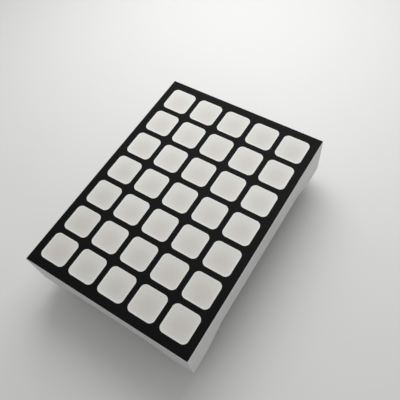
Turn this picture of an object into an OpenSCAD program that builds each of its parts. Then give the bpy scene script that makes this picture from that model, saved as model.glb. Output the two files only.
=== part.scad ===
// Square-dot LED matrix module, 5 columns by 7 rows, millimetres.
// Z = 0 is the seating plane of the four feet and +Z points out of the lit face.
// The origin is the centre of the pin pattern; +Y runs along the rows of the grid,
// from row 7 to row 1, and +X from column 1 to column 5.

/* [Dot grid] */
// Distance between the centres of neighbouring dots
dot_pitch = 7.2; // [7:0.05:7.4]
// Number of dot columns across the face
columns = 5; // [3:1:5]
// Number of dot rows along the face
rows = 7; // [5:1:7]
// Width of one square window
window_w = 5.95; // [5.6:0.05:6.2]
// Corner radius of one window
window_corner_r = 1.1; // [0.6:0.1:1.6]

/* [Face] */
// Face left beyond the outer windows, along the long sides
long_border = 1.825; // [1.6:0.025:2.6]
// Face left beyond the outer windows, along the short sides
short_border = 2.025; // [1.8:0.025:2.8]
// Thickness of the black face layer
mask_t = 0.1; // [0.05:0.05:0.3]
// Pale rim left round the black face layer, bevelled at 45 degrees
rim_w = 0.1; // [0.05:0.05:0.3]

/* [Housing] */
// Depth from the face down to the feet
depth = 10; // [9.4:0.1:12]
// Height of the long sides between their feet, measured down from the face
long_side_h = 7.1; // [6.4:0.1:8]
// Height of the short sides between their feet, measured down from the face
short_side_h = 6.2; // [5.8:0.1:7.2]
// Length of each foot's flat along either side
foot_l = 5.1; // [3:0.1:6]
// Length of the slope from a foot up to the raised middle of a side
slope_l = 5.4; // [2:0.1:6]
// Thickness of the skirt wall round the back
wall = 1.1; // [0.9:0.05:1.4]
// Draft of the outer walls, in degrees, closing towards the feet
draft = 0.5; // [0.2:0.1:1]
// Bevel on the four upright corners
corner_bevel = 0.15; // [0.05:0.05:0.4]
// Corner radius inside the skirt
inner_corner_r = 0.6; // [0.4:0.1:1.2]

/* [Reflector cups] */
// Thickness of the reflector plate between the face layer and the circuit board
reflector_t = 3.8; // [3.4:0.1:4]
// Radius of each cup at the circuit board
cup_floor_r = 1.25; // [1.15:0.05:1.5]
// How far the cup's cone runs outside the window's corners at the face
cup_flare = 0.3; // [0.1:0.05:0.6]

/* [Circuit board] */
// Thickness of the circuit board
board_t = 1.2; // [1:0.1:1.4]
// Gap between the board's edge and the skirt, filled with epoxy
board_gap = 0.25; // [0.15:0.05:0.5]
// Width of the epoxy bead over the board's edge
bead_w = 0.7; // [0.4:0.05:0.9]
// Height of the epoxy bead below the board
bead_h = 0.5; // [0.3:0.05:0.8]

/* [Heat stakes] */
// Diameter of the plastic stakes that hold the board
stake_d = 1.5; // [1.2:0.1:2]
// Radial gap between a stake and its hole in the board
stake_gap = 0.1; // [0.05:0.05:0.2]
// How far a stake's melted head spreads beyond its shank, all round
stake_spread = 0.5; // [0.3:0.1:0.8]
// Height of a stake's melted head
stake_head_h = 0.5; // [0.3:0.1:0.7]

/* [LED chips] */
// Width of one square chip
chip_w = 0.35; // [0.25:0.05:0.5]
// Height of one chip
chip_h = 0.25; // [0.15:0.05:0.4]
// Thickness of the copper lands under the chips and wires
land_t = 0.05; // [0.03:0.01:0.1]
// Copper land left all round a chip
land_margin = 0.2; // [0.1:0.05:0.3]
// Distance from a chip's centre to its wire's far end
wire_reach = 0.8; // [0.75:0.01:0.85]
// Length and width of the land at the wire's far end
wire_land_w = 0.36; // [0.2:0.02:0.4]
// Diameter of the gold wire
wire_d = 0.04; // [0.03:0.005:0.05]

/* [Pins] */
// Number of pins in each of the two rows
pins_per_row = 7; // [5:1:7]
// Distance between neighbouring pins of a row
pin_pitch = 2.54; // [2.5:0.01:2.6]
// Distance from a short side's outer edge in to its row of pins
pin_inset = 3.74; // [3.5:0.01:4.2]
// Diameter of a pin
pin_d = 0.5; // [0.4:0.05:0.6]
// How much thicker a pin's soldered root is than the pin
root_step = 0.1; // [0.05:0.05:0.15]
// How much further a pin's root widens in radius through the board
root_taper = 0.05; // [0.02:0.01:0.1]
// Length of a pin below the seating plane
pin_length = 4.5; // [3:0.1:6]
// Bevel on a pin's tip
tip_bevel = 0.1; // [0.05:0.01:0.15]
// Radial gap between a pin's root and its plated hole, filled with solder
solder_gap = 0.1; // [0.05:0.05:0.2]
// Radius of the concave solder fillet round each root
solder_r = 0.5; // [0.35:0.05:0.6]
// Thickness of the solder at the fillet's two edges
solder_lip = 0.05; // [0.03:0.01:0.1]

/* [Hidden] */
$fn = 64;
over = 1;        // how far a cutting shape runs past what it cuts
face_z = depth;
plate_top_z = face_z - mask_t;
board_top_z = plate_top_z - reflector_t;
board_z = board_top_z - board_t;
land_top_z = board_top_z + land_t;

body_w = (columns - 1) * dot_pitch + window_w + 2 * long_border;
body_l = (rows - 1) * dot_pitch + window_w + 2 * short_border;
inner_w = body_w - 2 * wall;
inner_l = body_l - 2 * wall;
board_w = inner_w - 2 * board_gap;
board_l = inner_l - 2 * board_gap;
board_corner_r = inner_corner_r - board_gap / 2;

// Radius that the cone needs at the face to clear the window's rounded corners
cup_mouth_r = (window_w / 2 - window_corner_r) * sqrt(2) + window_corner_r + cup_flare;
stake_hole_r = stake_d / 2 + stake_gap;
stake_head_r = stake_d / 2 + stake_spread;
chip_land_w = chip_w + 2 * land_margin;

// The wire is part of a circle through the chip's top that stands upright on the far land
wire_bend_r = (wire_reach * wire_reach + chip_h * chip_h) / (2 * wire_reach);

pin_r = pin_d / 2;
root_r = pin_r + root_step / 2;
root_top_r = root_r + root_taper;
pin_hole_r = root_top_r + solder_gap;
solder_foot_r = root_r + solder_lip + solder_r;
solder_z = board_z - solder_r - solder_lip;
pin_count = 2 * pins_per_row;
row_spacing = body_l - 2 * pin_inset;

housing_white = [0.93, 0.93, 0.91];
mask_black = [0.07, 0.07, 0.075];
milky_epoxy = [0.84, 0.84, 0.81];
board_green = [0.12, 0.36, 0.18];
tinned = [0.77, 0.77, 0.78];
gilt = [0.83, 0.66, 0.32];
chip_grey = [0.45, 0.46, 0.5];

function two_digits(n) = str(n < 10 ? "0" : "", n);
function window_name(row, column) = str("window_r", row, "_c", column);
function pin_name(n) = str("pin_", two_digits(n));

// Row 1 lies at +Y and column 1 at -X
function dot_x(column) = (column - (columns + 1) / 2) * dot_pitch;
function dot_y(row) = ((rows + 1) / 2 - row) * dot_pitch;

// Pins count along the -Y row towards +X, then back along the +Y row
function pin_step(n) = n <= pins_per_row ? n : pin_count + 1 - n;
function pin_x(n) = (pin_step(n) - (pins_per_row + 1) / 2) * pin_pitch;
function pin_y(n) = (n <= pins_per_row ? -1 : 1) * row_spacing / 2;

// How far the drafted wall stands in from the body's full size at height z
function draft_inset(z) = (plate_top_z - rim_w - z) * tan(draft);

// ---- Shared outlines and places ----

module rounded_rectangle(w, l, r) {
    square([w, l - 2 * r], center = true);
    square([w - 2 * r, l], center = true);
    for (x = [-1, 1], y = [-1, 1])
        translate([x * (w / 2 - r), y * (l / 2 - r)]) circle(r = r);
}

module window_outline() {
    rounded_rectangle(window_w, window_w, window_corner_r);
}

module at_each_dot() {
    for (row = [1:rows], column = [1:columns])
        translate([dot_x(column), dot_y(row), 0]) children();
}

module at_each_pin() {
    for (n = [1:pin_count]) translate([pin_x(n), pin_y(n), 0]) children();
}

// The stakes stand where the ribs between the cups cross, one rib in from each corner
module at_each_stake() {
    for (x = [-1, 1], y = [-1, 1])
        translate([x * (columns - 2) * dot_pitch / 2, y * (rows - 2) * dot_pitch / 2, 0])
            children();
}

// ---- Housing ----

// A side seen square on: drafted ends, two feet and the raised middle between them
module side_profile(length, side_h) {
    half = length / 2;
    raised_z = face_z - side_h;
    right = [
        [half - foot_l - slope_l, raised_z],
        [half - foot_l, 0],
        [half - draft_inset(0), 0],
        [half, plate_top_z - rim_w],
        [half - rim_w, plate_top_z]
    ];
    left = [for (i = [len(right) - 1:-1:0]) [-right[i].x, right[i].y]];
    polygon(concat(right, left));
}

// The rectangle that bevels the body's upright corners; its sides stand clear of the walls
module corner_plan() {
    x = body_w / 2 + over;
    y = body_l / 2 + over;
    cut = 2 * over + corner_bevel;
    polygon([
        [x, y - cut], [x - cut, y], [cut - x, y], [-x, y - cut],
        [-x, cut - y], [cut - x, -y], [x - cut, -y], [x, cut - y]
    ]);
}

module outer_body() {
    intersection() {
        translate([-body_w / 2 - over, 0, 0]) rotate([90, 0, 90])
            linear_extrude(body_w + 2 * over) side_profile(body_l, long_side_h);
        translate([0, body_l / 2 + over, 0]) rotate([90, 0, 0])
            linear_extrude(body_l + 2 * over) side_profile(body_w, short_side_h);
        translate([0, 0, -over]) linear_extrude(depth + 2 * over) corner_plan();
    }
}

// One cup: a square mouth with rounded corners that runs down into a round cone
module cup() {
    intersection() {
        translate([0, 0, board_top_z])
            linear_extrude(face_z - board_top_z) window_outline();
        translate([0, 0, board_top_z])
            cylinder(h = face_z - board_top_z, r1 = cup_floor_r, r2 = cup_mouth_r);
    }
}

module heat_stake() {
    shank_z = board_z - stake_head_h / 2;
    translate([0, 0, shank_z]) cylinder(h = board_top_z + over - shank_z, d = stake_d);
    // the melted head is a low dome that bears on the board
    dome_r = (stake_head_r * stake_head_r + stake_head_h * stake_head_h) / (2 * stake_head_h);
    intersection() {
        translate([0, 0, board_z - stake_head_h + dome_r]) sphere(r = dome_r);
        translate([0, 0, board_z - stake_head_h])
            cylinder(h = stake_head_h, r = stake_head_r + over);
    }
}

module housing() {
    color(housing_white) {
        difference() {
            outer_body();
            translate([0, 0, -over]) linear_extrude(board_top_z + over)
                rounded_rectangle(inner_w, inner_l, inner_corner_r);
            at_each_dot() {
                cup();
                // the floor's opening overlaps the cone, so that nothing only abuts
                translate([0, 0, board_top_z - over])
                    cylinder(h = over + reflector_t / 2, r = cup_floor_r);
            }
        }
        at_each_stake() heat_stake();
    }
}

// ---- Face ----

module face_mask() {
    color(mask_black)
        translate([0, 0, plate_top_z]) linear_extrude(mask_t) difference() {
            intersection() {
                square([body_w - 2 * rim_w, body_l - 2 * rim_w], center = true);
                corner_plan();
            }
            at_each_dot() window_outline();
        }
}

// The milky epoxy that fills one cup up to the face and holds its chip and wire
module light_window() {
    color(milky_epoxy) difference() {
        cup();
        land_pair();
        led_chip();
        bond_wire();
    }
}

// ---- Chips and wires, sealed under the windows ----

module centred_block(w, l, z, h) {
    translate([-w / 2, -l / 2, z]) cube([w, l, h]);
}

module land_pair() {
    centred_block(chip_land_w, chip_land_w, board_top_z, land_t);
    translate([wire_reach, 0, 0])
        centred_block(wire_land_w, wire_land_w, board_top_z, land_t);
}

module led_chip() {
    centred_block(chip_w, chip_w, land_top_z, chip_h);
}

// A loop that rises from the far land and comes down on the chip's top
module bond_wire() {
    difference() {
        translate([wire_reach - wire_bend_r, 0, land_top_z]) rotate([90, 0, 0])
            rotate_extrude(angle = 180) translate([wire_bend_r, 0]) circle(d = wire_d);
        translate([-over, -over, land_top_z - over])
            cube([over + wire_reach - wire_bend_r, 2 * over, chip_h + over]);
    }
}

module chip_lands() {
    color(gilt) at_each_dot() land_pair();
}

module led_chips() {
    color(chip_grey) at_each_dot() led_chip();
}

module bond_wires() {
    color(gilt) at_each_dot() bond_wire();
}

// ---- Circuit board and its seal ----

module board_outline() {
    rounded_rectangle(board_w, board_l, board_corner_r);
}

module circuit_board() {
    color(board_green)
        translate([0, 0, board_z]) linear_extrude(board_t) difference() {
            board_outline();
            at_each_pin() circle(r = pin_hole_r);
            at_each_stake() circle(r = stake_hole_r);
        }
}

// The room left inside the bead: width w at its foot, less a bead each side at the board
module bead_bar(w, l) {
    top = w / 2 - bead_w;
    rotate([90, 0, 0]) linear_extrude(l + 2 * over, center = true)
        polygon([
            [-w / 2 - over, -over], [w / 2 + over, -over], [w / 2, 0], [top, bead_h],
            [top, bead_h + over], [-top, bead_h + over], [-top, bead_h], [-w / 2, 0]
        ]);
}

module board_seal() {
    color(milky_epoxy) difference() {
        translate([0, 0, board_z - bead_h]) linear_extrude(board_t + bead_h)
            rounded_rectangle(inner_w, inner_l, inner_corner_r);
        translate([0, 0, board_z]) linear_extrude(board_t + over) board_outline();
        translate([0, 0, board_z - bead_h]) intersection() {
            bead_bar(inner_w, inner_l);
            rotate([0, 0, 90]) bead_bar(inner_l, inner_w);
        }
    }
}

// ---- Pins ----

// Solder fills the plated hole and ends below the board in a concave fillet
module solder_joint() {
    rotate_extrude() difference() {
        polygon([
            [root_r, solder_z], [solder_foot_r, solder_z], [solder_foot_r, board_z],
            [pin_hole_r, board_z], [pin_hole_r, board_top_z], [root_top_r, board_top_z]
        ]);
        translate([solder_foot_r, solder_z]) circle(r = solder_r);
    }
}

module solder_joints() {
    color(tinned) at_each_pin() solder_joint();
}

// Turned in one piece: a bevelled tip, a plain shank and a thicker root that widens through the board
module pin() {
    color(tinned) rotate_extrude() polygon([
        [0, -pin_length], [pin_r - tip_bevel, -pin_length], [pin_r, tip_bevel - pin_length],
        [pin_r, solder_z], [root_r, solder_z], [root_top_r, board_top_z], [0, board_top_z]
    ]);
}

// ---- Nodes ----

housing();
face_mask();
circuit_board();
board_seal();
chip_lands();
led_chips();
bond_wires();
solder_joints();
for (row = [1:rows], column = [1:columns])
    translate([dot_x(column), dot_y(row), 0]) light_window();
for (n = [1:pin_count])
    translate([pin_x(n), pin_y(n), 0]) pin();
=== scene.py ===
"""Dresses the square-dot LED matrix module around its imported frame.

Pieces are modelled in millimetres and brought to the frame's metres when they are finished.
"""

import logging
import math
from dataclasses import dataclass, field
from enum import Enum
from typing import Callable, Iterable

import bpy
from mathutils import Matrix, Vector


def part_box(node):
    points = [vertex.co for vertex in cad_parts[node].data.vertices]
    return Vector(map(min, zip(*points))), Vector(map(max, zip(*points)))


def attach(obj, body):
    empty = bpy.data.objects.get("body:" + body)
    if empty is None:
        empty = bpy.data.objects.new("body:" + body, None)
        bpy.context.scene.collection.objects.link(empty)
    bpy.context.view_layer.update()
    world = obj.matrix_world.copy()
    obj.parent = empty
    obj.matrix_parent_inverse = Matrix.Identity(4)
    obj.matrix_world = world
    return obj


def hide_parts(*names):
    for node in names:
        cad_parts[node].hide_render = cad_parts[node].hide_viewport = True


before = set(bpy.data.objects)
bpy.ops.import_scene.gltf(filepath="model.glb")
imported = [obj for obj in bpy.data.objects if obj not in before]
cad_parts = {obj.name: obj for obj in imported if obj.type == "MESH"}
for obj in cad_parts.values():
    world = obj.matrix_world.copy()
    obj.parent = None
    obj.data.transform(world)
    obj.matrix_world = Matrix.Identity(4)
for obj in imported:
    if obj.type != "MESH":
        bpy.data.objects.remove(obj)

LOG = logging.getLogger("led_matrix")
MM = 0.001
BODY = "root"
Colour = tuple[float, float, float]
Span = tuple[float, float]

# How level a face looks up or down, and how much taller than wide an upright edge is
LEVEL_NORMAL = 0.9
UPRIGHT_SLOPE = 4
# How close corners lie where a turned outline meets itself, in millimetres
SEAM_REACH = 0.0001


class Cut(Enum):
    """How one shape works on another."""

    AWAY = "DIFFERENCE"
    ONTO = "UNION"
    COMMON = "INTERSECT"


class Slot(Enum):
    """The record's material slots that go with the new pieces."""

    HOUSING = "housing_white"
    WINDOW = "window_epoxy"
    BOARD = "board_green"
    COPPER = "gilt_copper"
    SOLDER = "solder"
    PIN = "pin_tin"


# ---- Modelling steps ----


def pick_only(obj: bpy.types.Object) -> None:
    """Deselects everything, then selects one object and makes it active.

    Args:
        obj: The object to work on.
    """
    if bpy.context.object and bpy.context.object.mode != "OBJECT":
        bpy.ops.object.mode_set(mode="OBJECT")
    bpy.ops.object.select_all(action="DESELECT")
    obj.select_set(True)
    bpy.context.view_layer.objects.active = obj


def name_new(name: str) -> bpy.types.Object:
    """Names the primitive that was just added and puts its place into its mesh.

    Args:
        name: The object's new name.

    Returns:
        The object.
    """
    obj = bpy.context.object
    obj.name = name
    obj.data.name = name
    pick_only(obj)
    bpy.ops.object.transform_apply(location=True, rotation=True, scale=True)
    return obj


def add_block(name: str, low: Vector, high: Vector) -> bpy.types.Object:
    """Adds a block between two corners.

    Args:
        name: The object's name.
        low: Lowest corner in millimetres.
        high: Highest corner in millimetres.

    Returns:
        The new object.
    """
    bpy.ops.object.select_all(action="DESELECT")
    bpy.ops.mesh.primitive_cube_add(size=1, location=(low + high) / 2, scale=high - low)
    return name_new(name)


def add_round(
    name: str, foot_r: float, top_r: float, low_z: float, high_z: float, sides: int
) -> bpy.types.Object:
    """Adds a round bar or cone that stands on the Z axis.

    Args:
        name: The object's name.
        foot_r: Radius at the lower end.
        top_r: Radius at the upper end.
        low_z: Height of the lower end.
        high_z: Height of the upper end.
        sides: Number of sides round the axis.

    Returns:
        The new object.
    """
    bpy.ops.object.select_all(action="DESELECT")
    bpy.ops.mesh.primitive_cone_add(
        vertices=sides, radius1=foot_r, radius2=top_r, depth=high_z - low_z,
        location=(0, 0, (low_z + high_z) / 2),
    )
    return name_new(name)


def edit_faces(obj: bpy.types.Object, wanted: Callable[[bpy.types.MeshPolygon], bool]) -> None:
    """Enters edit mode with only some faces selected.

    Args:
        obj: The object to edit.
        wanted: Says whether a face is to be selected.
    """
    pick_only(obj)
    bpy.context.tool_settings.mesh_select_mode = (False, False, True)
    chosen = {face.index for face in obj.data.polygons if wanted(face)}
    obj.data.vertices.foreach_set("select", [False] * len(obj.data.vertices))
    obj.data.edges.foreach_set("select", [False] * len(obj.data.edges))
    for face in obj.data.polygons:
        face.select = face.index in chosen
    bpy.ops.object.mode_set(mode="EDIT")


def edit_edges(obj: bpy.types.Object, wanted: Callable[[Vector, Vector], bool]) -> None:
    """Enters edit mode with only some edges selected.

    Args:
        obj: The object to edit.
        wanted: Says, from an edge's two ends, whether it is to be selected.
    """
    pick_only(obj)
    mesh = obj.data
    bpy.context.tool_settings.mesh_select_mode = (False, True, False)
    mesh.vertices.foreach_set("select", [False] * len(mesh.vertices))
    mesh.polygons.foreach_set("select", [False] * len(mesh.polygons))
    for edge in mesh.edges:
        ends = [mesh.vertices[i] for i in edge.vertices]
        edge.select = wanted(ends[0].co, ends[1].co)
        for end in ends:
            end.select = end.select or edge.select
    bpy.ops.object.mode_set(mode="EDIT")


def leave_edit() -> None:
    """Returns to object mode."""
    bpy.ops.object.mode_set(mode="OBJECT")


def facing(z_sign: int, level: float, slack: float = 0.01) -> Callable[[bpy.types.MeshPolygon], bool]:
    """Makes a test for flat faces that look up or down at one height.

    Args:
        z_sign: 1 for faces that look up, -1 for those that look down.
        level: Height of the faces.
        slack: How far from that height a face may be.

    Returns:
        The test.
    """
    return lambda face: face.normal.z * z_sign > LEVEL_NORMAL and abs(face.center.z - level) < slack


def is_upright(a: Vector, b: Vector) -> bool:
    """Says whether an edge between two ends runs mostly along Z."""
    return abs(a.z - b.z) > UPRIGHT_SLOPE * math.hypot(a.x - b.x, a.y - b.y)


def round_uprights(obj: bpy.types.Object, radius: float, segments: int) -> None:
    """Rounds an object's upright edges.

    Args:
        obj: The object.
        radius: Radius of the rounding.
        segments: Number of faces across it.
    """
    edit_edges(obj, is_upright)
    bpy.ops.mesh.bevel(offset=radius, segments=segments, profile=0.5, affect="EDGES")
    leave_edit()


def work(obj: bpy.types.Object, tool: bpy.types.Object, cut: Cut) -> None:
    """Cuts a tool's shape from an object, adds it, or keeps what both share; the tool is used up.

    Args:
        obj: The object that stays.
        tool: The shape that works on it.
        cut: Which of the three is done.
    """
    pick_only(obj)
    step = obj.modifiers.new("work", "BOOLEAN")
    step.operation = cut.value
    step.solver = "EXACT"
    step.object = tool
    bpy.ops.object.modifier_apply(modifier=step.name)
    bpy.data.objects.remove(tool, do_unlink=True)


def soften(obj: bpy.types.Object, width: float, segments: int, angle: float = 30.0) -> None:
    """Rounds every edge that is sharper than an angle.

    Args:
        obj: The object.
        width: Width of the rounding.
        segments: Number of faces across it.
        angle: Edges sharper than this are rounded, in degrees.
    """
    pick_only(obj)
    step = obj.modifiers.new("soften", "BEVEL")
    step.width = width
    step.segments = segments
    step.limit_method = "ANGLE"
    step.angle_limit = math.radians(angle)
    step.harden_normals = False
    bpy.ops.object.modifier_apply(modifier=step.name)


def weld(obj: bpy.types.Object, reach: float = 0.001) -> None:
    """Merges corners that lie within a very small reach of each other.

    Args:
        obj: The object.
        reach: How far apart merged corners may be, in millimetres.
    """
    pick_only(obj)
    bpy.ops.object.mode_set(mode="EDIT")
    bpy.ops.mesh.select_all(action="SELECT")
    bpy.ops.mesh.remove_doubles(threshold=reach)
    leave_edit()


def join(objects: list[bpy.types.Object], name: str) -> bpy.types.Object:
    """Joins objects into the first one.

    Args:
        objects: The objects.
        name: The joined object's name.

    Returns:
        The joined object.
    """
    pick_only(objects[0])
    for obj in objects[1:]:
        obj.select_set(True)
    bpy.ops.object.join()
    objects[0].name = name
    objects[0].data.name = name
    return objects[0]


def turn_profile(name: str, profile: list[tuple[float, float]], steps: int) -> bpy.types.Object:
    """Spins an outline round the Z axis.

    Args:
        name: The object's name.
        profile: Points of the outline as radius and height.
        steps: Number of faces round the axis.

    Returns:
        The turned shape, closed where the outline is closed or meets the axis.
    """
    mesh = bpy.data.meshes.new(name)
    edges = [(i, i + 1) for i in range(len(profile) - 1)]
    mesh.from_pydata([(r, 0, z) for r, z in profile], edges, [])
    obj = bpy.data.objects.new(name, mesh)
    bpy.context.scene.collection.objects.link(obj)
    pick_only(obj)
    bpy.ops.object.mode_set(mode="EDIT")
    bpy.ops.mesh.select_all(action="SELECT")
    bpy.ops.mesh.spin(steps=steps, angle=2 * math.pi, center=(0, 0, 0), axis=(0, 0, 1))
    bpy.ops.mesh.select_all(action="SELECT")
    bpy.ops.mesh.remove_doubles(threshold=SEAM_REACH)
    bpy.ops.mesh.normals_make_consistent(inside=False)
    leave_edit()
    return obj


def centre_mm(node: str) -> Vector:
    """The centre of a CAD node in millimetres."""
    low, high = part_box(node)
    return (low + high) / 2 / MM


def box_mm(node: str) -> tuple[Vector, Vector]:
    """A CAD node's two corners in millimetres."""
    low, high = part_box(node)
    return low / MM, high / MM


def nodes_named(start: str) -> list[str]:
    """The names of the CAD nodes that begin with some letters, in order."""
    return sorted(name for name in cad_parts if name.startswith(start))


def copies_at(obj: bpy.types.Object, start: str, ending: str) -> dict[str, bpy.types.Object]:
    """Copies an object to the plan centre of each CAD node of one kind; the object is used up.

    Args:
        obj: The object, centred on the Z axis.
        start: The letters that the nodes' names begin with.
        ending: What a copy's name has after its node's name.

    Returns:
        The copies, each with its own mesh, by their node's name.
    """
    copies = {}
    for node in nodes_named(start):
        place = centre_mm(node)
        copy = bpy.data.objects.new(node + ending, obj.data.copy())
        copy.data.name = copy.name
        copy.data.transform(Matrix.Translation((place.x, place.y, 0)))
        bpy.context.scene.collection.objects.link(copy)
        copies[node] = copy
    bpy.data.objects.remove(obj, do_unlink=True)
    return copies


# ---- Shader groups that several finishes share ----

# An edge's wear and painted highlight reach within this radius, and each span below turns raw values
# into a mask
WEAR_HIGHLIGHT_RADIUS = 0.12 * MM
WEAR_HIGHLIGHT_SPAN = (0.01, 0.2)
WEAR_HIGHLIGHT_PATCH_SPAN = (0.35, 0.65)
DUST_COLOUR = (0.42, 0.41, 0.39)
DUST_ROUGHNESS = 0.4
SPECK_SPAN = (0.02, 0.14)
DUST_PATCH_SCALE = 260.0
DUST_PATCH_SPAN = (0.45, 0.75)
UPWARD_SPAN = (0.3, 0.9)
TONE_SPAN = (0.3, 0.7)
COAT_ROUGHNESS = 0.25


class Graph:
    """Adds and links nodes in one node tree."""

    def __init__(self, tree: bpy.types.NodeTree) -> None:
        """Takes the tree to work in."""
        self.tree = tree

    def add(self, kind: str, values: dict | None = None, **settings: object) -> bpy.types.Node:
        """Adds one node.

        Args:
            kind: Blender's type name of the node.
            values: Values or links for its inputs, by socket name or number.
            **settings: The node's own settings.

        Returns:
            The node.
        """
        node = self.tree.nodes.new(kind)
        for key, value in settings.items():
            setattr(node, key, value)
        for key, value in (values or {}).items():
            if isinstance(value, bpy.types.NodeSocket):
                self.tree.links.new(value, node.inputs[key])
            else:
                node.inputs[key].default_value = value
        return node

    def math(self, operation: str, a: object, b: object = 0.0) -> bpy.types.NodeSocket:
        """Adds a Math node and gives its result."""
        return self.add("ShaderNodeMath", {0: a, 1: b}, operation=operation).outputs[0]

    def vector(self, operation: str, a: object, b: object = (0.0, 0.0, 0.0)) -> bpy.types.Node:
        """Adds a Vector Math node and gives it."""
        return self.add("ShaderNodeVectorMath", {0: a, 1: b}, operation=operation)

    def spread(self, value: object, span: Span) -> bpy.types.NodeSocket:
        """Maps a value from one end of a span to the other to a smooth 0 to 1."""
        values = {"Value": value, "From Min": span[0], "From Max": span[1]}
        return self.add("ShaderNodeMapRange", values, interpolation_type="SMOOTHSTEP").outputs[0]

    def blend(self, amount: object, a: object, b: object) -> bpy.types.NodeSocket:
        """Mixes two colours and gives the result."""
        node = self.add("ShaderNodeMix", {"Factor": amount}, data_type="RGBA")
        for index, value in ((6, a), (7, b)):
            if isinstance(value, bpy.types.NodeSocket):
                self.tree.links.new(value, node.inputs[index])
            else:
                node.inputs[index].default_value = (*value, 1.0)
        return node.outputs[2]

    def noise(self, place: object, scale: object, detail: float = 3.0) -> bpy.types.NodeSocket:
        """Adds a noise texture and gives its value."""
        values = {"Vector": place, "Scale": scale, "Detail": detail}
        return self.add("ShaderNodeTexNoise", values).outputs[0]


def start_group(
    name: str, inputs: dict[str, float], outputs: Iterable[str]
) -> tuple[Graph, bpy.types.Node, bpy.types.Node]:
    """Starts a shader group of plain numbers.

    Args:
        name: The group's name.
        inputs: Names and default values of its inputs.
        outputs: Names of its outputs.

    Returns:
        A graph on the group, its input node and its output node.
    """
    tree = bpy.data.node_groups.new(name, "ShaderNodeTree")
    for title, value in inputs.items():
        socket = tree.interface.new_socket(title, in_out="INPUT", socket_type="NodeSocketFloat")
        socket.default_value = value
    for title in outputs:
        tree.interface.new_socket(title, in_out="OUTPUT", socket_type="NodeSocketFloat")
    graph = Graph(tree)
    return graph, graph.add("NodeGroupInput"), graph.add("NodeGroupOutput")


def make_grain_group() -> bpy.types.NodeTree:
    """Builds the group for a surface's fine grain and its slow drift in tone.

    Returns:
        The group, which puts out Height, Tone and Rough.
    """
    graph, given, result = start_group(
        "surface_grain", {"Grain Scale": 3000.0, "Drift Scale": 120.0}, ("Height", "Tone", "Rough")
    )
    place = graph.add("ShaderNodeTexCoord").outputs["Object"]
    fine = graph.noise(place, given.outputs["Grain Scale"], detail=4.0)
    slow = graph.noise(place, given.outputs["Drift Scale"], detail=2.0)
    graph.tree.links.new(fine, result.inputs["Height"])
    graph.tree.links.new(slow, result.inputs["Tone"])
    graph.tree.links.new(graph.math("MULTIPLY", fine, slow), result.inputs["Rough"])
    return graph.tree


def make_wear_and_highlight_group() -> bpy.types.NodeTree:
    """Builds the group that finds an object's edges and breaks them up; the brighter edges it marks are
    partly rubbed wear and partly a painted highlight.

    Returns:
        The group, which puts out Mask.
    """
    graph, given, result = start_group("edge_wear", {"Break Scale": 900.0}, ("Mask",))
    rounded = graph.add("ShaderNodeBevel", {"Radius": WEAR_HIGHLIGHT_RADIUS}, samples=4).outputs[0]
    flat = graph.add("ShaderNodeNewGeometry").outputs["Normal"]
    along = graph.vector("DOT_PRODUCT", rounded, flat).outputs["Value"]
    edge = graph.spread(graph.math("SUBTRACT", 1.0, along), WEAR_HIGHLIGHT_SPAN)
    place = graph.add("ShaderNodeTexCoord").outputs["Object"]
    patches = graph.spread(graph.noise(place, given.outputs["Break Scale"]), WEAR_HIGHLIGHT_PATCH_SPAN)
    graph.tree.links.new(graph.math("MULTIPLY", edge, patches), result.inputs["Mask"])
    return graph.tree


def make_dust_group() -> bpy.types.NodeTree:
    """Builds the group for the fine dust that settles on what looks up.

    Returns:
        The group, which puts out Mask.
    """
    graph, given, result = start_group("settled_dust", {"Speck Scale": 1400.0}, ("Mask",))
    place = graph.add("ShaderNodeTexCoord").outputs["Object"]
    cells = graph.add(
        "ShaderNodeTexVoronoi", {"Vector": place, "Scale": given.outputs["Speck Scale"]}
    ).outputs["Distance"]
    specks = graph.math("SUBTRACT", 1.0, graph.spread(cells, SPECK_SPAN))
    patches = graph.spread(graph.noise(place, DUST_PATCH_SCALE), DUST_PATCH_SPAN)
    normal = graph.add("ShaderNodeNewGeometry").outputs["Normal"]
    upward = graph.add("ShaderNodeSeparateXYZ", {0: normal}).outputs["Z"]
    lying = graph.math("MULTIPLY", graph.spread(upward, UPWARD_SPAN), patches)
    graph.tree.links.new(graph.math("MULTIPLY", specks, lying), result.inputs["Mask"])
    return graph.tree


@dataclass
class SharedGroups:
    """The shader groups that the finishes place in their materials."""

    grain: bpy.types.NodeTree = field(default_factory=make_grain_group)
    wear_and_highlight: bpy.types.NodeTree = field(default_factory=make_wear_and_highlight_group)
    dust: bpy.types.NodeTree = field(default_factory=make_dust_group)


# ---- Finishes ----


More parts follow.
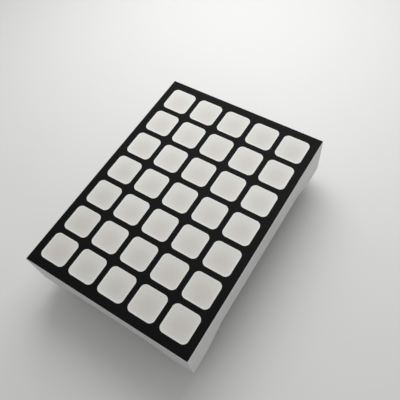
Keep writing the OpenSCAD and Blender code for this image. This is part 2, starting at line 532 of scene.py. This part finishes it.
@dataclass(frozen=True)
class Finish:
    """A surface with grain, a drift in tone, brighter edges that are partly worn and partly a painted
    highlight, and a little dust.
    """

    name: str
    colour: Colour
    drift_colour: Colour
    # edge colour: brighter edges, partly rubbed wear and partly a painted highlight where edges catch
    # light
    edge_colour: Colour
    roughness: float
    roughness_spread: float = 0.12
    metallic: float = 0.0
    specular: float = 0.5
    coat: float = 0.0
    grain_scale: float = 3000.0
    drift_scale: float = 120.0
    bump: float = 0.15
    bump_depth: float = 0.00001
    wear_and_highlight: float = 0.4
    dust: float = 0.25

    def tint(self, graph: Graph, tone: bpy.types.NodeSocket) -> bpy.types.NodeSocket:
        """Gives the colour before wear and dust; a finish with a pattern of its own overrides it."""
        return graph.blend(graph.spread(tone, TONE_SPAN), self.colour, self.drift_colour)

    def relief(self, graph: Graph, grain: bpy.types.NodeSocket) -> bpy.types.NodeSocket:
        """Gives the height of the surface; a finish with a pattern of its own overrides it."""
        return grain

    def set_body(self, shader: bpy.types.Node) -> None:
        """Sets what is the same all over the surface."""
        shader.inputs["Specular IOR Level"].default_value = self.specular
        shader.inputs["Coat Roughness"].default_value = COAT_ROUGHNESS

    def make(self, groups: SharedGroups) -> bpy.types.Material:
        """Builds the material.

        Args:
            groups: The shader groups.

        Returns:
            The material.
        """
        material = bpy.data.materials.new(self.name)
        material.use_nodes = True
        graph = Graph(material.node_tree)
        shader = material.node_tree.nodes["Principled BSDF"]
        link = material.node_tree.links.new

        grain = graph.add("ShaderNodeGroup", node_tree=groups.grain)
        grain.inputs["Grain Scale"].default_value = self.grain_scale
        grain.inputs["Drift Scale"].default_value = self.drift_scale
        wear_and_highlight = graph.add("ShaderNodeGroup", node_tree=groups.wear_and_highlight)
        dust = graph.add("ShaderNodeGroup", node_tree=groups.dust)

        colour = self.tint(graph, grain.outputs["Tone"])
        # brightens the edges: partly rubbed wear, partly a painted highlight
        worn_and_lit = graph.math("MULTIPLY", wear_and_highlight.outputs["Mask"], self.wear_and_highlight)
        colour = graph.blend(worn_and_lit, colour, self.edge_colour)
        dusty = graph.math("MULTIPLY", dust.outputs["Mask"], self.dust)
        colour = graph.blend(dusty, colour, DUST_COLOUR)
        link(colour, shader.inputs["Base Color"])

        # the grain's value is about a quarter on average, so the mean stays at the finish's own
        swing = graph.math("MULTIPLY", grain.outputs["Rough"], self.roughness_spread * 2)
        rough = graph.math("ADD", swing, self.roughness - self.roughness_spread / 2)
        matt = graph.math("MULTIPLY", dusty, DUST_ROUGHNESS)
        link(graph.math("ADD", rough, matt), shader.inputs["Roughness"])

        height = self.relief(graph, grain.outputs["Height"])
        values = {"Strength": self.bump, "Distance": self.bump_depth, "Height": height}
        link(graph.add("ShaderNodeBump", values).outputs[0], shader.inputs["Normal"])
        shader.inputs["Metallic"].default_value = self.metallic
        shader.inputs["Coat Weight"].default_value = self.coat
        self.set_body(shader)
        return material


@dataclass(frozen=True)
class MilkyFinish(Finish):
    """Milky epoxy that scatters light, with painted shade over the middle of each cup, off-centre as
    light falls, and a pale rim.
    """

    # painted shade: the middle of each window is darkened towards this colour, centred a little off the
    # middle as light falls
    painted_shade_colour: Colour = (0.575, 0.55, 0.52)
    painted_shade_centre: tuple[float, float, float] = (0.55, 0.42, 0.0)
    painted_shade_span: Span = (0.08, 0.6)
    painted_shade_amount: float = 0.75
    # pale rim: partly the pale cup close under the epoxy, partly a painted highlight
    rim_highlight_colour: Colour = (0.80, 0.80, 0.77)
    rim_highlight_span: Span = (0.5, 0.96)
    rim_highlight_amount: float = 0.55
    corner_share: float = 0.185
    scatter: float = 0.12
    scatter_reach: float = 0.6

    def tint(self, graph: Graph, tone: bpy.types.NodeSocket) -> bpy.types.NodeSocket:
        """Paints shade softly over the middle of the epoxy's own face and pales it at the rim, partly as
        a painted highlight.
        """
        place = graph.add("ShaderNodeUVMap", uv_map=WindowSet.UV_NAME).outputs[0]
        away = graph.vector("LENGTH", graph.vector("SUBTRACT", place, self.painted_shade_centre).outputs[0])
        # painted shade over the middle of the window's face
        deep = graph.math("SUBTRACT", 1.0, graph.spread(away.outputs["Value"], self.painted_shade_span))
        deep = graph.math("MULTIPLY", deep, self.painted_shade_amount)
        body = graph.blend(deep, super().tint(graph, tone), self.painted_shade_colour)
        # pale rim, partly a painted highlight
        rim = graph.math("MULTIPLY", self.rim(graph, place), self.rim_highlight_amount)
        return graph.blend(rim, body, self.rim_highlight_colour)

    def rim(self, graph: Graph, place: bpy.types.NodeSocket) -> bpy.types.NodeSocket:
        """Finds the thin rim that is painted pale: partly where the pale cup shows close under the
        epoxy, partly a painted highlight where light catches the edge.

        Args:
            graph: The material's graph.
            place: The place on the window's face, from 0 to 1 each way.

        Returns:
            A mask that is 1 at the rim.
        """
        centred = graph.vector("SUBTRACT", place, (0.5, 0.5, 0.0))
        folded = graph.vector("ABSOLUTE", centred.outputs[0])
        straight = 0.5 - self.corner_share
        past = graph.vector("SUBTRACT", folded.outputs[0], (straight, straight, 0.0))
        reach = graph.vector("LENGTH", graph.vector("MAXIMUM", past.outputs[0]).outputs[0])
        start, end = (self.corner_share * share for share in self.rim_highlight_span)
        return graph.spread(reach.outputs["Value"], (start, end))

    def set_body(self, shader: bpy.types.Node) -> None:
        """Adds the scatter under the surface."""
        super().set_body(shader)
        shader.inputs["Subsurface Weight"].default_value = self.scatter
        shader.inputs["Subsurface Scale"].default_value = self.scatter_reach * MM


@dataclass(frozen=True)
class LaminateFinish(Finish):
    """Solder mask over a glass laminate, whose weave shows through."""

    weave_pitch: float = 0.45
    weave_share: float = 0.35

    def relief(self, graph: Graph, grain: bpy.types.NodeSocket) -> bpy.types.NodeSocket:
        """Adds the weave of the glass cloth to the grain."""
        place = graph.add("ShaderNodeTexCoord").outputs["Object"]
        axes = graph.add("ShaderNodeSeparateXYZ", {0: place})
        turns = 2 * math.pi / (self.weave_pitch * MM)
        waves = [graph.math("SINE", graph.math("MULTIPLY", axes.outputs[i], turns)) for i in (0, 1)]
        weave = graph.math("MULTIPLY", graph.math("MULTIPLY", *waves), self.weave_share)
        return graph.math("ADD", weave, grain)


@dataclass(frozen=True)
class DrawnFinish(Finish):
    """Drawn metal with faint streaks along Z."""

    streak_scale: float = 5000.0
    stretch: float = 0.04
    grain_share: float = 0.3

    def relief(self, graph: Graph, grain: bpy.types.NodeSocket) -> bpy.types.NodeSocket:
        """Stretches the grain along the wire."""
        place = graph.add("ShaderNodeTexCoord").outputs["Object"]
        turned = graph.add("ShaderNodeMapping", {"Vector": place, "Scale": (1.0, 1.0, self.stretch)})
        streaks = graph.noise(turned.outputs[0], self.streak_scale)
        return graph.math("ADD", graph.math("MULTIPLY", grain, self.grain_share), streaks)


HOUSING_FINISH = Finish(
    "moulded_white", (0.79, 0.79, 0.77), (0.74, 0.745, 0.73), (0.86, 0.86, 0.845), 0.46,
    grain_scale=2600.0, drift_scale=90.0, bump=0.25, wear_and_highlight=0.5,
)
MASK_FINISH = Finish(
    "black_face", (0.0030, 0.0030, 0.0034), (0.0044, 0.0044, 0.0049), (0.012, 0.012, 0.013), 0.55,
    specular=0.07, grain_scale=4200.0, bump=0.3, wear_and_highlight=0.5, dust=0.02,
)
WINDOW_FINISH = MilkyFinish(
    "milky_epoxy", (0.68, 0.68, 0.645), (0.66, 0.65, 0.615), (0.74, 0.74, 0.71), 0.38,
    specular=0.28, coat=0.06, drift_scale=70.0, bump=0.08, wear_and_highlight=0.6, dust=0.12,
)
BOARD_FINISH = LaminateFinish(
    "green_board", (0.018, 0.125, 0.042), (0.024, 0.15, 0.052), (0.12, 0.21, 0.11), 0.36,
    coat=0.25, bump=0.35, bump_depth=0.00002, wear_and_highlight=0.3, dust=0.1,
)
TRACK_FINISH = Finish(
    "mask_over_copper", (0.052, 0.27, 0.092), (0.064, 0.30, 0.105), (0.18, 0.36, 0.16), 0.34,
    coat=0.25, bump=0.15, wear_and_highlight=0.4, dust=0.1,
)
SEAL_FINISH = Finish(
    "cured_seal", (0.62, 0.61, 0.56), (0.56, 0.55, 0.49), (0.68, 0.67, 0.63), 0.24,
    coat=0.4, drift_scale=220.0, bump=0.3, bump_depth=0.00004, wear_and_highlight=0.2, dust=0.1,
)
GILT_FINISH = Finish(
    "gilt", (0.70, 0.46, 0.16), (0.64, 0.41, 0.14), (0.82, 0.58, 0.26), 0.3, metallic=1.0, wear_and_highlight=0.3,
)
CHIP_FINISH = Finish(
    "sawn_crystal", (0.16, 0.17, 0.20), (0.20, 0.21, 0.25), (0.34, 0.35, 0.38), 0.3,
    grain_scale=9000.0, bump=0.4, wear_and_highlight=0.6,
)
WIRE_FINISH = Finish(
    "gold_wire", (0.76, 0.50, 0.17), (0.72, 0.46, 0.15), (0.84, 0.60, 0.28), 0.22, metallic=1.0,
)
SOLDER_FINISH = Finish(
    "bright_solder", (0.64, 0.645, 0.65), (0.54, 0.545, 0.555), (0.74, 0.74, 0.75), 0.24,
    metallic=1.0, grain_scale=1900.0, drift_scale=700.0, bump=0.35, bump_depth=0.00003, dust=0.1,
)
PIN_FINISH = DrawnFinish(
    "tinned_wire", (0.68, 0.68, 0.68), (0.58, 0.58, 0.585), (0.78, 0.78, 0.78), 0.3,
    metallic=1.0, drift_scale=500.0, bump=0.3, wear_and_highlight=0.5, dust=0.1,
)


@dataclass
class Workshop:
    """Makes each finish once and hands pieces over to the frame."""

    groups: SharedGroups = field(default_factory=SharedGroups)
    made: dict[str, bpy.types.Material] = field(default_factory=dict)

    def dress(self, obj: bpy.types.Object, finish: Finish) -> None:
        """Gives an object one finish in all its slots."""
        if finish.name not in self.made:
            self.made[finish.name] = finish.make(self.groups)
        obj.data.materials.clear()
        obj.data.materials.append(self.made[finish.name])

    def dress_node(self, node: str, finish: Finish) -> None:
        """Gives a CAD node its finish."""
        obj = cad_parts[node]
        self.dress(obj, finish)
        LOG.info("node %s wears %s", node, finish.name)

    def hand_over(
        self, obj: bpy.types.Object, finish: Finish, slot: Slot,
        stands_for: Iterable[str] = (), smooth_angle: float = 30.0,
    ) -> bpy.types.Object:
        """Brings a finished piece to metres, dresses it and ties it to the frame.

        Args:
            obj: The piece, modelled in millimetres.
            finish: Its finish.
            slot: The record's material slot; not used.
            stands_for: The CAD nodes that it replaces.
            smooth_angle: Edges flatter than this are shaded smooth, in degrees.

        Returns:
            The piece.
        """
        pick_only(obj)
        bpy.ops.object.shade_smooth_by_angle(angle=math.radians(smooth_angle))
        even = obj.modifiers.new("even_shading", "WEIGHTED_NORMAL")
        even.keep_sharp = True
        bpy.ops.object.modifier_apply(modifier=even.name)
        obj.data.transform(Matrix.Scale(MM, 4))
        obj.data.update()
        self.dress(obj, finish)
        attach(obj, BODY)
        if stands_for:
            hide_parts(*stands_for)
        LOG.info("piece %s: %d faces, %s", obj.name, len(obj.data.polygons), finish.name)
        return obj


# ---- Sub-assemblies ----


@dataclass
class CupForm:
    """The form that a cup and its window share: a square mouth that runs into a round cone."""

    width: float = 5.95
    corner_r: float = 1.1
    floor_r: float = 1.25
    flare: float = 0.3
    cone_sides: int = 96
    corner_segments: int = 12
    over: float = 1.0

    def mouth_r(self) -> float:
        """The radius that clears the mouth's rounded corners."""
        return (self.width / 2 - self.corner_r) * math.sqrt(2) + self.corner_r + self.flare

    def make(self, name: str, floor_z: float, face_z: float) -> bpy.types.Object:
        """Models the form round the Z axis.

        Args:
            name: The object's name.
            floor_z: Height of the cup's floor.
            face_z: Height of its mouth.

        Returns:
            The closed form.
        """
        cone = add_round(name, self.floor_r, self.mouth_r(), floor_z, face_z, self.cone_sides)
        half = self.width / 2
        low = Vector((-half, -half, floor_z - self.over))
        block = add_block("mouth", low, Vector((half, half, face_z + self.over)))
        round_uprights(block, self.corner_r, self.corner_segments)
        work(cone, block, Cut.COMMON)
        return cone


@dataclass
class HousingShell:
    """The white moulding: drafted walls, arches on four sides, corner feet, cups and stakes."""

    shop: Workshop
    cup: CupForm
    wall: float = 1.1
    rim: float = 0.1
    draft_angle: float = 0.5
    corner_r: float = 0.15
    corner_segments: int = 3
    pocket_corner_r: float = 0.6
    pocket_segments: int = 8
    foot_l: float = 5.1
    slope_l: float = 5.4
    long_arch_z: float = 2.9
    short_arch_z: float = 3.8
    edge_r: float = 0.05
    edge_segments: int = 2
    stake_r: float = 0.75
    stake_spread: float = 0.5
    stake_head_h: float = 0.5
    stake_steps: int = 8
    stake_sides: int = 32
    over: float = 1.0
    low: Vector = field(init=False)
    high: Vector = field(init=False)
    pocket_z: float = field(init=False)

    def __post_init__(self) -> None:
        """Finds the housing's two corners and the ceiling of its recess."""
        self.low, self.high = box_mm("housing")
        self.pocket_z = box_mm("circuit_board")[1].z

    def build(self) -> bpy.types.Object:
        """Models the housing and hands it over.

        Returns:
            The housing.
        """
        shell = self.make_body()
        for cutter in (self.make_arch(1, self.long_arch_z), self.make_arch(0, self.short_arch_z)):
            work(shell, cutter, Cut.AWAY)
        work(shell, self.make_pocket(), Cut.AWAY)
        soften(shell, self.edge_r, self.edge_segments)
        work(shell, self.make_cups(), Cut.AWAY)
        for stake in self.make_stakes():
            work(shell, stake, Cut.ONTO)
        weld(shell)
        return self.shop.hand_over(shell, HOUSING_FINISH, Slot.HOUSING, ["housing"])

    def make_body(self) -> bpy.types.Object:
        """Models the drafted block with its bevelled rim and corners.

        Returns:
            The block.
        """
        shoulder = Vector((self.high.x, self.high.y, self.high.z - self.rim))
        body = add_block("housing_shell", self.low, shoulder)
        edit_faces(body, facing(-1, self.low.z))
        self.draw_in((shoulder.z - self.low.z) * math.tan(math.radians(self.draft_angle)))
        leave_edit()
        edit_faces(body, facing(1, shoulder.z))
        bpy.ops.mesh.extrude_region_move(TRANSFORM_OT_translate={"value": (0, 0, self.rim)})
        self.draw_in(self.rim)
        leave_edit()
        round_uprights(body, self.corner_r, self.corner_segments)
        return body

    def draw_in(self, inset: float) -> None:
        """Draws the selected end of the block in by the same distance on all four sides."""
        size = self.high - self.low
        bpy.ops.transform.resize(
            value=(1 - 2 * inset / size.x, 1 - 2 * inset / size.y, 1), center_override=(0, 0, 0)
        )

    def make_arch(self, along: int, arch_z: float) -> bpy.types.Object:
        """Models the shape that opens an arch through two opposite sides.

        Args:
            along: The axis that the arched side runs along, 0 for X and 1 for Y.
            arch_z: Height of the arch's flat top.

        Returns:
            The cutting shape.
        """
        half = self.high[along] - self.foot_l
        across = 1 - along
        start, end = Vector((0, 0, self.low.z)), Vector((0, 0, arch_z))
        start[along], end[along] = -half, half
        start[across], end[across] = self.low[across] - self.over, self.high[across] + self.over
        cutter = add_block("arch", start, end)
        edit_faces(cutter, facing(1, arch_z))
        scale = [1.0, 1.0, 1.0]
        scale[along] = (half - self.slope_l) / half
        bpy.ops.transform.resize(value=scale, center_override=(0, 0, 0))
        leave_edit()
        edit_faces(cutter, facing(-1, self.low.z))
        bpy.ops.mesh.extrude_region_move(TRANSFORM_OT_translate={"value": (0, 0, -self.over)})
        leave_edit()
        return cutter

    def make_pocket(self) -> bpy.types.Object:
        """Models the shape of the recess behind the cups.

        Returns:
            The cutting shape.
        """
        wall = Vector((self.wall, self.wall, 0))
        top = Vector((self.high.x, self.high.y, self.pocket_z)) - wall
        pocket = add_block("pocket", self.low + wall - Vector((0, 0, self.over)), top)
        round_uprights(pocket, self.pocket_corner_r, self.pocket_segments)
        return pocket

    def make_cups(self) -> bpy.types.Object:
        """Models all the cups as one cutting shape that runs on a little below their floors.

        Returns:
            The cutting shape.
        """
        mouth_z = box_mm("face_mask")[1].z
        cup = self.cup.make("cup", self.pocket_z, mouth_z)
        edit_faces(cup, facing(-1, self.pocket_z))
        below = (mouth_z - self.high.z + self.wall) / 2
        bpy.ops.mesh.extrude_region_move(TRANSFORM_OT_translate={"value": (0, 0, -below)})
        leave_edit()
        return join(list(copies_at(cup, "window_", "_cup").values()), "cups")

    def make_stakes(self) -> list[bpy.types.Object]:
        """Models the four melted stakes that hold the board.

        Returns:
            The stakes.
        """
        board_z = box_mm("circuit_board")[0].z
        head_z = board_z - self.stake_head_h
        top_z = self.pocket_z + self.stake_head_h
        head_r = self.stake_r + self.stake_spread
        dome = (head_r**2 + self.stake_head_h**2) / (2 * self.stake_head_h)
        sweep = math.asin(head_r / dome)
        turns = [sweep * i / self.stake_steps for i in range(self.stake_steps + 1)]
        arc = [(dome * math.sin(a), head_z + dome * (1 - math.cos(a))) for a in turns]
        profile = arc + [(self.stake_r, board_z), (self.stake_r, top_z), (0, top_z)]
        places = [centre_mm(node) for node in nodes_named("window_")]
        xs = sorted({round(place.x, 3) for place in places})
        ys = sorted({round(place.y, 3) for place in places})
        stakes = []
        for x in ((xs[0] + xs[1]) / 2, (xs[-1] + xs[-2]) / 2):
            for y in ((ys[0] + ys[1]) / 2, (ys[-1] + ys[-2]) / 2):
                stake = turn_profile("stake", profile, self.stake_sides)
                stake.data.transform(Matrix.Translation((x, y, 0)))
                stakes.append(stake)
        return stakes


@dataclass
class WindowSet:
    """The milky windows, cast in their cups with a shallow meniscus."""

    UV_NAME = "face"

    shop: Workshop
    cup: CupForm
    meniscus_reach: float = 0.85
    meniscus_depth: float = 0.04
    meniscus_rings: int = 5
    smooth_angle: float = 40.0

    def build(self) -> list[bpy.types.Object]:
        """Models one window and hands over a copy for each cup.

        Returns:
            The windows.
        """
        low, high = box_mm(nodes_named("window_")[0])
        window = self.cup.make("window", low.z, high.z)
        edit_faces(window, facing(1, high.z))
        # the rings stay inside the rounded corners, so that their loops never cross
        ring = self.cup.corner_r * self.meniscus_reach / self.meniscus_rings
        depths = [self.depth_at(i / self.meniscus_rings) for i in range(self.meniscus_rings + 1)]
        for above, below in zip(depths, depths[1:]):
            bpy.ops.mesh.inset(thickness=ring, depth=0)
            bpy.ops.transform.translate(value=(0, 0, above - below))
        leave_edit()
        self.unwrap(window)
        return [
            self.shop.hand_over(piece, WINDOW_FINISH, Slot.WINDOW, [node], self.smooth_angle)
            for node, piece in copies_at(window, "window_", "_epoxy").items()
        ]

    def depth_at(self, share: float) -> float:
        """How deep the meniscus is at a share of its reach, steep at the rim and flat inside."""
        return self.meniscus_depth * math.sin(share * math.pi / 2)

    def unwrap(self, window: bpy.types.Object) -> None:
        """Lays the window's plan out flat over its UV map.

        Args:
            window: The window, centred on the Z axis.
        """
        mesh = window.data
        while mesh.uv_layers:
            mesh.uv_layers.remove(mesh.uv_layers[0])
        layer = mesh.uv_layers.new(name=self.UV_NAME)
        for loop in mesh.loops:
            place = mesh.vertices[loop.vertex_index].co
            layer.data[loop.index].uv = (place.x / self.cup.width + 0.5, place.y / self.cup.width + 0.5)


@dataclass
class BoardCopper:
    """The copper on the board's underside: tracks and vias under the solder mask, and bare pads."""

    shop: Workshop
    thickness: float = 0.035
    track_w: float = 0.4
    track_segments: int = 2
    via_r: float = 0.42
    via_depth: float = 1.4
    via_sides: int = 24
    pad_r: float = 1.1
    pad_hole_r: float = 0.84
    pad_sides: int = 48
    row_spread: float = 0.72
    row_reach: float = 15.6
    lead_reach: float = 2.6
    lead_step: float = 1.1
    lead_lengths: int = 3
    board_z: float = field(init=False)

    def __post_init__(self) -> None:
        """Finds the height of the board's underside."""
        self.board_z = box_mm("circuit_board")[0].z

    def build(self) -> list[bpy.types.Object]:
        """Models the tracks and the pads and hands them over.

        Returns:
            The two pieces.
        """
        tracks = join(self.make_rows() + self.make_leads(), "board_tracks")
        pads = join(self.make_pads(), "board_pads")
        return [
            self.shop.hand_over(tracks, TRACK_FINISH, Slot.BOARD),
            self.shop.hand_over(pads, GILT_FINISH, Slot.COPPER),
        ]

    def make_strip(self, xs: Span, ys: Span) -> bpy.types.Object:
        """Models one straight track with a narrower lower face.

        Args:
            xs: Its two ends along X, the lower first.
            ys: Its two ends along Y, the lower first.

        Returns:
            The track.
        """
        low_z = self.board_z - self.thickness
        strip = add_block("strip", Vector((xs[0], ys[0], low_z)), Vector((xs[1], ys[1], self.board_z)))
        edit_faces(strip, facing(-1, low_z))
        bpy.ops.mesh.inset(thickness=self.thickness / 2, depth=0)
        leave_edit()
        soften(strip, self.thickness / 3, self.track_segments)
        return strip

    def make_via(self, x: float, y: float) -> bpy.types.Object:
        """Models one filled via with a dimple.

        Args:
            x: Its place along X.
            y: Its place along Y.

        Returns:
            The via.
        """
        deep = self.board_z - self.thickness * self.via_depth
        rim = self.via_r - self.thickness / 2
        profile = [(0, deep + self.thickness / 2), (rim / 3, deep + self.thickness / 3), (rim / 2, deep),
                   (rim, deep), (self.via_r, deep + self.thickness / 2), (self.via_r, self.board_z),
                   (0, self.board_z)]
        via = turn_profile("via", profile, self.via_sides)
        via.data.transform(Matrix.Translation((x, y, 0)))
        return via

    def make_rows(self) -> list[bpy.types.Object]:
        """Models the line of each row of dots, with a via for each dot.

        Returns:
            The tracks and vias.
        """
        places = [centre_mm(node) for node in nodes_named("window_")]
        half = self.track_w / 2
        parts = []
        for y in sorted({round(place.y * self.row_spread, 3) for place in places}):
            parts.append(self.make_strip((-self.row_reach, self.row_reach), (y - half, y + half)))
            for x in sorted({round(place.x, 3) for place in places}):
                parts.append(self.make_via(x, y))
        return parts

    def make_leads(self) -> list[bpy.types.Object]:
        """Models the short lead from each pin to its via.

        Returns:
            The leads and vias.
        """
        half = self.track_w / 2
        parts = []
        for index, node in enumerate(nodes_named("pin_")):
            place = centre_mm(node)
            inward = -math.copysign(1, place.y)
            start = place.y + inward * self.pad_hole_r
            end = place.y + inward * (self.lead_reach + self.lead_step * (index % self.lead_lengths))
            ys = (min(start, end), max(start, end))
            parts.append(self.make_strip((place.x - half, place.x + half), ys))
            parts.append(self.make_via(place.x, end))
        return parts

    def make_pads(self) -> list[bpy.types.Object]:
        """Models the ring of bare copper round each pin.

        Returns:
            The rings.
        """
        low = self.board_z - self.thickness
        edge = self.thickness / 3
        profile = [(self.pad_hole_r, self.board_z), (self.pad_hole_r, low), (self.pad_r - edge, low),
                   (self.pad_r, low + edge), (self.pad_r, self.board_z), (self.pad_hole_r, self.board_z)]
        return list(copies_at(turn_profile("pad", profile, self.pad_sides), "pin_", "_pad").values())


@dataclass
class PinSet:
    """The tinned pins: a rounded tip, a plain shank and a root that widens through the board."""

    shop: Workshop
    shank_r: float = 0.25
    root_r: float = 0.3
    root_top_r: float = 0.35
    tip_r: float = 0.1
    tip_steps: int = 5
    sides: int = 40

    def build(self) -> list[bpy.types.Object]:
        """Models one pin and hands over a copy for each place.

        Returns:
            The pins.
        """
        low, high = box_mm(nodes_named("pin_")[0])
        step_z = box_mm("solder_joints")[0].z
        pin = turn_profile("pin", self.outline(low.z, step_z, high.z), self.sides)
        return [
            self.shop.hand_over(piece, PIN_FINISH, Slot.PIN, [node])
            for node, piece in copies_at(pin, "pin_", "_wire").items()
        ]

    def outline(self, tip_z: float, step_z: float, top_z: float) -> list[tuple[float, float]]:
        """Gives the pin's outline.

        Args:
            tip_z: Height of its tip.
            step_z: Height where the root starts.
            top_z: Height of its upper end.

        Returns:
            Points as radius and height.
        """
        core = self.shank_r - self.tip_r
        turns = [math.pi / 2 * i / self.tip_steps for i in range(self.tip_steps + 1)]
        tip = [
            (core + self.tip_r * math.sin(a), tip_z + self.tip_r * (1 - math.cos(a))) for a in turns
        ]
        return [(0, tip_z), *tip, (self.shank_r, step_z), (self.root_r, step_z),
                (self.root_top_r, top_z), (0, top_z)]


@dataclass
class SolderSet:
    """The solder round each root, which wets the pad in a concave fillet."""

    shop: Workshop
    root_r: float = 0.3
    root_top_r: float = 0.35
    hole_r: float = 0.45
    fillet_r: float = 0.5
    lip: float = 0.05
    arc_steps: int = 10
    sides: int = 48
    smooth_angle: float = 40.0

    def build(self) -> bpy.types.Object:
        """Models one joint and joins a copy for each pin.

        Returns:
            The solder joints as one piece.
        """
        low, high = box_mm("circuit_board")
        joint = turn_profile("joint", self.outline(low.z, high.z), self.sides)
        piece = join(list(copies_at(joint, "pin_", "_joint").values()), "solder_fillets")
        return self.shop.hand_over(
            piece, SOLDER_FINISH, Slot.SOLDER, ["solder_joints"], self.smooth_angle
        )

    def outline(self, board_z: float, top_z: float) -> list[tuple[float, float]]:
        """Gives the joint's closed outline.

        Args:
            board_z: Height of the board's underside.
            top_z: Height of its top.

        Returns:
            Points as radius and height.
        """
        foot_r = self.root_r + self.lip + self.fillet_r
        low_z = board_z - self.lip - self.fillet_r
        turns = [math.pi / 2 * i / self.arc_steps for i in range(self.arc_steps + 1)]
        arc = [
            (foot_r - self.fillet_r * math.cos(a), low_z + self.fillet_r * math.sin(a)) for a in turns
        ]
        return [(self.root_r, low_z), *arc, (foot_r, board_z), (self.hole_r, board_z),
                (self.hole_r, top_z), (self.root_top_r, top_z), (self.root_r, low_z)]


# ---- Stage ----


@dataclass
class Studio:
    """The floor, the lamps and the camera."""

    floor_colour: Colour = (0.80, 0.80, 0.79)
    bounce_colour: Colour = (0.40, 0.40, 0.41)
    floor_half: float = 3.0
    sky: float = 0.38
    key_level: float = 0.79
    key_azimuth: float = -158.0
    key_elevation: float = 52.0
    key_distance: float = 0.127
    lamp_size: float = 0.12
    fill_level: float = 0.11
    fill_azimuth: float = 62.0
    fill_elevation: float = 16.0
    fill_distance: float = 0.34
    lens: float = 43.218
    target: tuple[float, float] = (3.884, 1.546)
    azimuth: float = 41.724
    elevation: float = 59.185
    roll: float = -10.858
    distance: float = 97.575

    def set_up(self) -> None:
        """Makes the floor, the lamps and the camera."""
        self.add_floor()
        self.add_lamps()
        self.add_camera()
        bpy.context.scene.view_settings.view_transform = "Standard"

    def add_floor(self) -> None:
        """Lays a pale floor under the pins that can be seen through from below."""
        bpy.ops.object.select_all(action="DESELECT")
        bpy.ops.mesh.primitive_plane_add(size=2 * self.floor_half)
        floor = name_new("floor")
        floor.data.transform(Matrix.Translation((0, 0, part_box(nodes_named("pin_")[0])[0].z)))
        material = bpy.data.materials.new("pale_floor")
        material.use_nodes = True
        graph = Graph(material.node_tree)
        shader = material.node_tree.nodes["Principled BSDF"]
        shader.inputs["Roughness"].default_value = 0.9
        shader.inputs["Specular IOR Level"].default_value = 0.1
        rays = graph.add("ShaderNodeLightPath")
        seen = graph.math("MAXIMUM", rays.outputs["Is Camera Ray"], rays.outputs["Is Glossy Ray"])
        seen = graph.math("MAXIMUM", seen, rays.outputs["Is Transmission Ray"])
        colour = graph.blend(seen, self.bounce_colour, self.floor_colour)
        material.node_tree.links.new(colour, shader.inputs["Base Color"])
        back = graph.add("ShaderNodeNewGeometry").outputs["Backfacing"]
        clear = graph.add("ShaderNodeBsdfTransparent").outputs[0]
        mixed = graph.add("ShaderNodeMixShader", {0: back, 1: shader.outputs[0], 2: clear}).outputs[0]
        surface = material.node_tree.nodes["Material Output"].inputs["Surface"]
        material.node_tree.links.new(mixed, surface)
        floor.data.materials.append(material)

    def add_lamps(self) -> None:
        """Lights the module softly from beyond its far end, a little to the left, with an even sky."""
        world = bpy.data.worlds.new("even_sky")
        world.use_nodes = True
        sky = world.node_tree.nodes["Background"]
        sky.inputs["Color"].default_value = (1.0, 1.0, 1.0, 1.0)
        sky.inputs["Strength"].default_value = self.sky
        bpy.context.scene.world = world
        self.add_lamp(
            "key_lamp", self.key_level, self.key_azimuth, self.key_elevation, self.key_distance
        )
        self.add_lamp(
            "fill_lamp", self.fill_level, self.fill_azimuth, self.fill_elevation, self.fill_distance
        )

    def add_lamp(
        self, name: str, level: float, azimuth: float, elevation: float, distance: float
    ) -> None:
        """Adds a soft square lamp that looks at the module.

        Args:
            name: The lamp's name.
            level: How brightly a white surface that faces it shows, where 1 is white.
            azimuth: Where it stands round the module, in degrees.
            elevation: Its height above the horizon, in degrees.
            distance: How far from the module's centre it stands, in metres.
        """
        data = bpy.data.lights.new(name, "AREA")
        data.size = self.lamp_size
        data.energy = level * (math.pi * distance) ** 2
        lamp = bpy.data.objects.new(name, data)
        back = self.direction(azimuth, elevation)
        lamp.location = back * distance
        lamp.rotation_euler = (-back).to_track_quat("-Z", "Y").to_euler()
        bpy.context.scene.collection.objects.link(lamp)

    def direction(self, azimuth: float, elevation: float) -> Vector:
        """The direction from the module to a place given by two angles in degrees."""
        a, e = math.radians(azimuth), math.radians(elevation)
        return Vector((math.sin(a) * math.cos(e), -math.cos(a) * math.cos(e), math.sin(e)))

    def add_camera(self) -> None:
        """Places the camera, turned a little about its own axis."""
        back = self.direction(self.azimuth, self.elevation)
        level = (-back).cross(Vector((0, 0, 1))).normalized()
        rise = level.cross(-back)
        turn = math.radians(self.roll)
        right = level * math.cos(turn) + rise * math.sin(turn)
        up = rise * math.cos(turn) - level * math.sin(turn)
        face_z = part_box("face_mask")[1].z
        place = Vector((self.target[0] * MM, self.target[1] * MM, face_z)) + back * self.distance * MM
        data = bpy.data.cameras.new("camera")
        data.lens = self.lens
        data.sensor_width = 36.0
        data.clip_start = 0.005
        data.clip_end = 20.0
        camera = bpy.data.objects.new("camera", data)
        camera.matrix_world = Matrix.Translation(place) @ Matrix((right, up, back)).transposed().to_4x4()
        bpy.context.scene.collection.objects.link(camera)
        bpy.context.scene.camera = camera


def main() -> None:
    """Builds the stage and each sub-assembly in order."""
    logging.basicConfig(level=logging.INFO, format="%(name)s: %(message)s")
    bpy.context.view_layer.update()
    Studio().set_up()
    shop = Workshop()
    cup = CupForm()
    HousingShell(shop, cup).build()
    WindowSet(shop, cup).build()
    BoardCopper(shop).build()
    PinSet(shop).build()
    SolderSet(shop).build()
    for start, finish in (
        ("face_mask", MASK_FINISH), ("circuit_board", BOARD_FINISH), ("board_seal", SEAL_FINISH),
        ("chip_lands", GILT_FINISH), ("led_chips", CHIP_FINISH), ("bond_wires", WIRE_FINISH),
        ("housing", HOUSING_FINISH), ("window_", WINDOW_FINISH), ("pin_", PIN_FINISH),
        ("solder_joints", SOLDER_FINISH),
    ):
        for node in nodes_named(start):
            shop.dress_node(node, finish)


if __name__ == "__main__":
    main()
